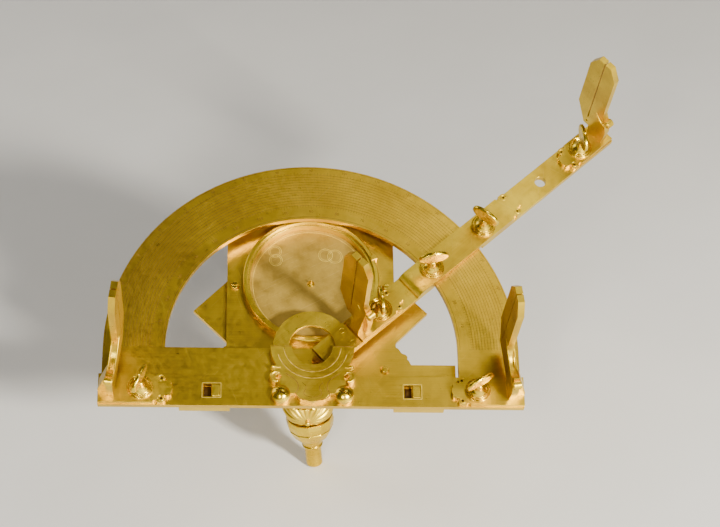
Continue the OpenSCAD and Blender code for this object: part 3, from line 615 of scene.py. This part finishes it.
def wing_screw(which, home, depth, turned):
    """Ringed washer, a bell with a narrow neck, and a flat oval wing with a rounded rim."""
    node = which + "_wing_screw"
    seat = home.inverted() @ Vector(joints[which + "_screw_turn"]["pos_m"])
    place = Matrix.Translation(seat) @ Matrix.Rotation(math.radians(turned), 4, "Z")
    bm = bmesh.new()
    shank = ((0, -depth), (SCREW_R - SCREW_EASE, -depth), (SCREW_R, SCREW_EASE - depth), (SCREW_R, 0.05))
    lathe(bm, (*shank, *WASHER, *BELL), SCREW_SEGMENTS, place)
    rims = []
    for face in (1, -1):
        rings = []
        for share, thick in WING_SECTION:
            ring = []
            for s in range(WING_STEPS):
                a = 2 * math.pi * s / WING_STEPS
                x = WING_L / 2 * share * powered(math.cos(a), WING_POWER_X)
                z = WING_H / 2 * share * powered(math.sin(a), WING_POWER_Z)
                ring.append(bm.verts.new(place @ Vector((x, face * thick * WING_T / 2, WING_Z + z))))
            rings.append(ring)
        bridge_rings(bm, rings)
        bm.faces.new(rings[0])
        rims.append(rings[-1])
    bridge_rings(bm, rims)
    ball(bm, (0, 0, WING_Z + WING_H / 2 + 0.1), WING_BEAD_R, place)
    from_bmesh(bm, node + "_dressed", home, body_of[node], turned_gilt, node)


for which, home, depth, turned in (
        ("left", PLATE, FOOT_DEPTH, 68), ("right", PLATE, FOOT_DEPTH, 30),
        ("inner", ARM, FOOT_DEPTH, 56), ("clamp", ARM, CLAMP_DEPTH, -30),
        ("splice", ARM, SPLICE_DEPTH, 101), ("outer", ARM, FOOT_DEPTH, 56)):
    wing_screw(which, home, depth, turned)


# Ornament of feet, vanes and bridge

FIXED_VANE_X = 111.7
INNER_VANE_S = 32.7
OUTER_VANE_S = 225.4
VANE_T = 3.8
VANE_NECK = 27.0
VANE_LUG = -5.5
VOLUTE_Z = VANE_NECK - 6 + FOOT_T
VOLUTE_R, VOLUTE_EYE_R, VOLUTE_TURNS = 2.1, 0.7, 1.6
SWEEP_Z, SWEEP_RISE = VANE_NECK - 8.5 + FOOT_T, 6.0
SWEEP_POINTS = 18
FIXED_TWIST = math.radians(7)
ROLL_SHARE, SCROLL_SHARE = 0.145, 0.348
RIM_OUTER, RIM_INNER, RIM_TURNS = 0.74, 0.62, 0.9
EYE_SHARE, EYE_DEPTH = 0.31, 0.7
BRIDGE_END = LIMB_R + 38.5
MIRROR_X = Matrix.Diagonal((-1, 1, 1, 1))
STAND_UP = Matrix(((0, 0, 1, 0), (1, 0, 0, 0), (0, 1, 0, 0), (0, 0, 0, 1)))
# Of a fixed foot and of one on the arm: seat, width, length, reach of the vane to its line, twist
FIXED_FOOT = (0.0, 17.4, 32.0, -BAR_MID / math.cos(FIXED_TWIST), FIXED_TWIST)
ARM_FOOT = (ARM_TOP, 16.0, 28.5, -ARM_MID, 0.0)


def add_scrolls(name, home, body, w, length, top, place):
    """The scrolled end of a foot: a rolled rim round each of its two eye holes, and a dark disc of painted shade
    down in each hole.
    """
    root = length - w * SCROLL_SHARE
    curl = w * ROLL_SHARE
    rims = bmesh.new()
    eye_shades = bmesh.new()
    for side in (-1, 1):
        y = side * (w / 2 - curl)
        path = spiral((root, y), curl * RIM_OUTER, curl * RIM_INNER, 90 * side + 180, -side * RIM_TURNS,
                      top - 0.1)
        tube(rims, path, tapered(len(path), 0.2, 0.42), place)
        # A near-black disc of painted shade, set down in the eye hole
        bmesh.ops.create_circle(eye_shades, cap_ends=True, segments=24, radius=curl * EYE_SHARE,
                                matrix=place @ Matrix.Translation((root, y, top - EYE_DEPTH)))
    from_bmesh(rims, name + "_scrolls", home, body, cast_gilt)
    lines_piece(eye_shades, name + "_eyes", home, body, painted_shade_fill)


def add_vane_trim(name, home, body, crank, place):
    """A volute with its eye, and a swelling bead, on both faces of a vane's ear."""
    bm = bmesh.new()
    upright = place @ STAND_UP
    shares = tapered(SWEEP_POINTS, 0.0, 1.0)
    for face, lift in ((0, 0.05), (-VANE_T, -0.05)):
        path = spiral((VANE_LUG, VOLUTE_Z), VOLUTE_R, VOLUTE_EYE_R, 60, VOLUTE_TURNS, face + lift)
        tube(bm, path, tapered(len(path), 0.45, 0.3), upright)
        ball(bm, (VANE_LUG, VOLUTE_Z, face + lift), 0.6, upright)
        sweep = [Vector((VANE_LUG + 1.2 + (crank - 6.0 - VANE_LUG) * t, SWEEP_Z + SWEEP_RISE * t * t,
                         face + lift * 0.2)) for t in shares]
        swell = [0.15 + 0.35 * math.sin(math.pi * (0.05 + 0.9 * t)) for t in shares]
        tube(bm, sweep, swell, upright)
    from_bmesh(bm, name, home, body, cast_gilt)


for name, home, where, mirrored, (seat, w, length, crank, twist) in (
        ("left", PLATE, (-FIXED_VANE_X, BAR_MID, 0), False, FIXED_FOOT),
        ("right", PLATE, (FIXED_VANE_X, BAR_MID, 0), True, FIXED_FOOT),
        ("inner", ARM, (INNER_VANE_S, ARM_MID, 0), False, ARM_FOOT),
        ("outer", ARM, (OUTER_VANE_S, ARM_MID, 0), True, ARM_FOOT)):
    place = Matrix.Translation(where)
    if mirrored:
        place = place @ MIRROR_X
    add_scrolls(name + "_foot", home, body_of[name + "_foot"], w, length, seat + FOOT_T, place)
    vane_place = place @ Matrix.Translation((0, 0, seat)) @ Matrix.Rotation(-twist, 4, "Z")
    add_vane_trim(name + "_vane_scrolls", home, body_of[name + "_vane"], crank, vane_place)
add_scrolls("bridge", ARM, "alidade", ARM_W, BRIDGE_END, ARM_TOP + BRIDGE_T,
            Matrix.Translation((0, ARM_MID, 0)))


# Latch windows: a painted highlight round each window's rim on the bar, and painted shade as a dark sheet on the
# pad over half of the opening

WINDOW_X, WINDOW_L, WINDOW_W = 57.4, 9.5, 7.8
WINDOW_MARGIN, WINDOW_LINE_W = 0.6, 0.3
SHADE_GAP = 0.1
for name, side in (("left", -1), ("right", 1)):
    x = side * WINDOW_X
    half_l, half_w = WINDOW_L / 2 + WINDOW_MARGIN, WINDOW_W / 2 + WINDOW_MARGIN
    corners = [(x - half_l, BAR_MID - half_w), (x + half_l, BAR_MID - half_w),
               (x + half_l, BAR_MID + half_w), (x - half_l, BAR_MID + half_w)]
    bm = bmesh.new()
    # Bright lines of painted highlight round the window's rim
    for first, last in zip(corners, corners[1:] + corners[:1]):
        ribbon(bm, [first, last], WINDOW_LINE_W, RISE)
    lines_piece(bm, name + "_window_rim_highlight", PLATE, "table", bright_cut_and_highlight)
    bm = bmesh.new()
    # A dark sheet of painted shade on the pad's top, in one half of the window's opening
    shade = [(x - WINDOW_L / 2 + SHADE_GAP, BAR_MID), (x - SHADE_GAP, BAR_MID)]
    ribbon(bm, shade, WINDOW_W - 2 * SHADE_GAP, RISE - PLATE_T)
    lines_piece(bm, name + "_window_shade", PLATE, "table", painted_shade_fill)


# Keeper: rolled ears, the cut lines of its face, a painted highlight beside two of its arcs, a painted shade line
# along its back edge, and painted shade in its screws' slots

EAR_X, EAR_Y, EAR_R = 20.8, -19.6, 3.9
EAR_POINTS, FINGER_POINTS = 31, 9
KEEPER_LINE_Z = KEEPER_TOP + RISE
KEEPER_ARCS = ((16.3, 186, 354), (20.3, 196, 344))       # radius, first and last bearing
# A painted highlight runs beside each cut arc
HIGHLIGHT_SIDE = 0.3                                        # from a cut arc to its bright edge
VASE = ((15.5, -17.6), (12.4, -19.6), (9.6, -22.0), (8.3, -24.6), (8.4, -27.2), (9.6, -29.6),
        (9.2, -31.6), (6.4, -33.4), (0.6, -34.6))
DROP = ((6.0, -23.2), (4.2, -25.0), (3.8, -27.0), (5.0, -29.0), (4.4, -31.0), (0.4, -32.4))
# Painted shade line along the keeper's back edge, where it meets the ring
SHADE_LINE_Y, SHADE_LINE_FROM, SHADE_LINE_TO = -0.7, 12.2, 23.8
SCREW_X, SCREW_Y, SLOT_Z = 18.0, -30.0, KEEPER_TOP + 1.6
SLOT_REACH, SLOT_LINE_W = 3.4, 0.94

bm = bmesh.new()
for side in (-1, 1):
    curl = [Vector((side * (EAR_X + x), EAR_Y + y, KEEPER_TOP))
            for x, y in arc(EAR_R - 1.0, 125, -100, EAR_POINTS - 1)]
    tube(bm, curl, tapered(EAR_POINTS, 0.55, 0.95))
    ball(bm, curl[-1], 1.0)
    finger = [Vector((side * (EAR_X - 2.5 + 4.3 * t), EAR_Y + 5.6 + 0.5 * t * t, KEEPER_TOP))
              for t in tapered(FINGER_POINTS, 0, 1)]
    tube(bm, finger, tapered(FINGER_POINTS, 0.3, 0.85))
    ball(bm, finger[-1], 0.9)
from_bmesh(bm, "keeper_ears", PLATE, "table", cast_gilt)

bm = bmesh.new()
for r, low, high in KEEPER_ARCS:
    ribbon(bm, arc(r, low, high, 60), 0.3, KEEPER_LINE_Z)
for side in (-1, 1):
    for line, width in ((VASE, 0.38), (DROP, 0.28)):
        ribbon(bm, eased([(side * x, y) for x, y in line]), width, KEEPER_LINE_Z)
    # The painted shade line along the back edge
    ribbon(bm, [(side * SHADE_LINE_FROM, SHADE_LINE_Y), (side * SHADE_LINE_TO, SHADE_LINE_Y)], 0.3, KEEPER_LINE_Z)
lines_piece(bm, "keeper_lines", PLATE, "table", cut_and_shade_line)

# Painted highlight along the edge of each cut arc
bm = bmesh.new()
for r, low, high in KEEPER_ARCS:
    ribbon(bm, arc(r + HIGHLIGHT_SIDE, low, high, 60), 0.24, KEEPER_LINE_Z)
lines_piece(bm, "keeper_highlight_lines", PLATE, "table", bright_cut_and_highlight)

bm = bmesh.new()
# Dark lines of painted shade where the screws' slots are
for side, turned in ((-1, -28), (1, -24)):
    ends = [polar(reach, turned, side * SCREW_X, SCREW_Y) for reach in (-SLOT_REACH, SLOT_REACH)]
    ribbon(bm, ends, SLOT_LINE_W, SLOT_Z + RISE)
lines_piece(bm, "keeper_slot_shades", PLATE, "table", painted_shade_fill)


# Compass: a divided ledge, and plain circles cut in the floor

HOLE_R, LEDGE_R, LEDGE_Z = 36.2, 37.8, -6.4
FLOOR_CIRCLE_R = 34.4
DOUBLE_CIRCLES = ((9.0, 19.3, 4.2), (14.6, 18.5, 4.4), (-21.2, 21.3, 3.8), (-20.7, 15.6, 3.8))
DOUBLE_STEP = 0.9                    # from an outer circle to the one inside it

bm = bmesh.new()
for degree in range(0, 360, 5):
    low = HOLE_R + (0.15 if degree % 10 == 0 else 0.7)
    ends = [polar(r, degree, 0, COMPASS_Y) for r in (low, LEDGE_R - 0.1)]
    ribbon(bm, ends, 0.16, LEDGE_Z + RISE)
lines_piece(bm, "compass_divisions", PLATE, "table", cut_and_shade_line)

bm = bmesh.new()
ribbon(bm, arc(FLOOR_CIRCLE_R, 0, 360, 120, 0, COMPASS_Y), 0.3, FLOOR_TOP + RISE)
for x, y, r in DOUBLE_CIRCLES:
    for ring_r, width in ((r, 0.34), (r - DOUBLE_STEP, 0.22)):
        ribbon(bm, arc(ring_r, 0, 360, 40, x, COMPASS_Y + y), width, FLOOR_TOP + RISE)
lines_piece(bm, "compass_circles", PLATE, "table", bright_cut_and_highlight)


# Ball socket: two scalloped shells

RIM_Z, SPLIT, SHELL_FOOT_Z = 4.0, 0.3, -14.6         # cuts of a shell, from the ball's centre
DIP = math.radians(20)                               # of the bead below the level
RIBS, RIB_H, GROOVE_R = 16, 1.4, SHELL_R - 1.2
FAN_FROM, FAN_TO = 4, 150                            # degrees from the bead's axis
FAN_ROWS, FAN_COLUMNS = 48, 264
BEAD_R = 1.7
SPIGOT_R, SPIGOT_LOW, SPIGOT_TOP, SPIGOT_EASE = 5.0, 9.2, 18.8, 0.2


def scallop(node, side):
    """Half shell with ribs that fan up from a low bead; side is -1 at the front."""
    axis = Vector((0, side * math.cos(DIP), -math.sin(DIP)))
    right = Vector((1, 0, 0))
    over = axis.cross(right)
    bm = bmesh.new()
    rings = []
    for theta in tapered(FAN_ROWS + 1, math.radians(FAN_FROM), math.radians(FAN_TO)):
        fade = min(1.0, math.sin(theta) * 1.5) * min(1.0, max(0.0, (theta - 0.10) / 0.35))
        ring = []
        for j in range(FAN_COLUMNS):
            phi = 2 * math.pi * j / FAN_COLUMNS
            swell = abs(math.cos(phi * RIBS / 2)) ** 0.8
            r = GROOVE_R + RIB_H * swell * fade + 0.6 * (1 - fade)
            out = (right * math.cos(phi) + over * math.sin(phi)) * math.sin(theta)
            ring.append(bm.verts.new((axis * math.cos(theta) + out) * r))
        rings.append(ring)
    bridge_rings(bm, rings)
    bm.faces.new(rings[0])
    for spot, away in (((0, side * SPLIT, 0), (0, -side, 0)), ((0, 0, RIM_Z), (0, 0, 1)),
                       ((0, 0, SHELL_FOOT_Z), (0, 0, -1))):
        every = bm.verts[:] + bm.edges[:] + bm.faces[:]
        bmesh.ops.bisect_plane(bm, geom=every, plane_co=spot, plane_no=away, clear_outer=True)
    bmesh.ops.translate(bm, verts=bm.verts, vec=(0, 0, BALL_Z))
    trim = bmesh.new()
    ball(trim, axis * (SHELL_R + 0.2), BEAD_R, Matrix.Translation((0, 0, BALL_Z)))
    if side > 0:
        spigot = [(0, SPIGOT_LOW), (SPIGOT_R - SPIGOT_EASE, SPIGOT_LOW), (SPIGOT_R, SPIGOT_LOW + SPIGOT_EASE),
                  (SPIGOT_R, SPIGOT_TOP), (0, SPIGOT_TOP)]
        lathe(trim, spigot, 48)
    from_bmesh(trim, node + "_trim", STEM, "socket", cast_gilt)
    shell = from_bmesh(bm, node + "_dressed", STEM, "socket", cast_gilt, node)
    wall = shell.modifiers.new("wall", "SOLIDIFY")
    wall.thickness = (SHELL_T - 0.8) * MM
    wall.offset = -1


scallop("front_shell", -1)
scallop("rear_shell", 1)


# Stage and light, in metres

FLOOR_HALF, FLOOR_FRONT, FLOOR_BACK, BEND, WALL_TOP = 8.0, -8.0, 1.7, 0.6, 3.0
FLOOR_GAP = 0.0003
SKY, SKY_STRENGTH = (0.86, 0.84, 0.80, 1), 0.10
WARM, SOFT, COOL = (1.0, 0.95, 0.83), (1.0, 0.95, 0.86), (1.0, 0.98, 0.95)
# Name, place, width, height, power in watts, colour
LAMPS = (
    ("key", (0.98, -1.13, 0.68), 0.18, 0.18, 70, WARM),
    ("front", (-0.12, -1.30, 0.75), 0.12, 0.5, 10, WARM),
    ("overhead", (0.50, 0.05, 1.25), 0.45, 0.45, 1.5, SOFT),
    ("fill", (-1.20, 0.70, 1.10), 1.0, 1.0, 8, COOL),
)

floor_z = cad_box[0][2] - FLOOR_GAP
outline = [(FLOOR_FRONT, floor_z)]
for y, z in arc(BEND, -90, 0, 15, FLOOR_BACK, floor_z + BEND):
    outline.append((y, z))
outline.append((FLOOR_BACK + BEND, WALL_TOP))
bm = bmesh.new()
columns = [[bm.verts.new((x, y, z)) for y, z in outline] for x in (-FLOOR_HALF, FLOOR_HALF)]
for k in range(len(outline) - 1):
    bm.faces.new((columns[0][k], columns[1][k], columns[1][k + 1], columns[0][k + 1]))
for face in bm.faces:
    face.smooth = True
mesh = to_mesh(bm, "floor")
mesh.materials.append(ground("pale_ground"))
floor = bpy.data.objects.new("floor", mesh)
scene.collection.objects.link(floor)

world = bpy.data.worlds.new("studio")
world.use_nodes = True
world.node_tree.nodes["Background"].inputs[0].default_value = SKY
world.node_tree.nodes["Background"].inputs[1].default_value = SKY_STRENGTH
scene.world = world

aim = PLATE @ Vector((10, 40, 0))
for name, place, width, height, power, colour in LAMPS:
    light = bpy.data.lights.new(name, "AREA")
    light.shape = "RECTANGLE"
    light.size = width
    light.size_y = height
    light.energy = power
    light.color = colour
    lamp = bpy.data.objects.new(name, light)
    lamp.location = place
    lamp.rotation_euler = (aim - Vector(place)).to_track_quat("-Z", "Y").to_euler()
    scene.collection.objects.link(lamp)


# Camera, placed in the plate's own millimetres

ELEVATION, SWING, LEAN = math.radians(63.12), math.radians(-8.58), math.radians(8.45)
DISTANCE, TARGET = 1104.0, Vector((28.7, 55.1, 0))
IMAGE_W, FOCAL_PX = 720, 1867
SENSOR_W = 36

back = Vector((math.sin(SWING) * math.cos(ELEVATION), -math.cos(SWING) * math.cos(ELEVATION),
               math.sin(ELEVATION)))
right = Vector((math.cos(SWING), math.sin(SWING), 0))
up = back.cross(right)
axes = (math.cos(LEAN) * right + math.sin(LEAN) * up, math.cos(LEAN) * up - math.sin(LEAN) * right, back)
camera_data = bpy.data.cameras.new("camera")
camera_data.sensor_fit = "HORIZONTAL"
camera_data.sensor_width = SENSOR_W
camera_data.lens = FOCAL_PX / IMAGE_W * SENSOR_W
camera_data.clip_end = 20
camera = bpy.data.objects.new("camera", camera_data)
to_row = TURNED.to_3x3()
looking = Matrix([to_row @ axis for axis in axes]).transposed().to_4x4()
camera.matrix_world = Matrix.Translation(PLATE @ (TARGET + back * DISTANCE)) @ looking
scene.collection.objects.link(camera)
scene.camera = camera
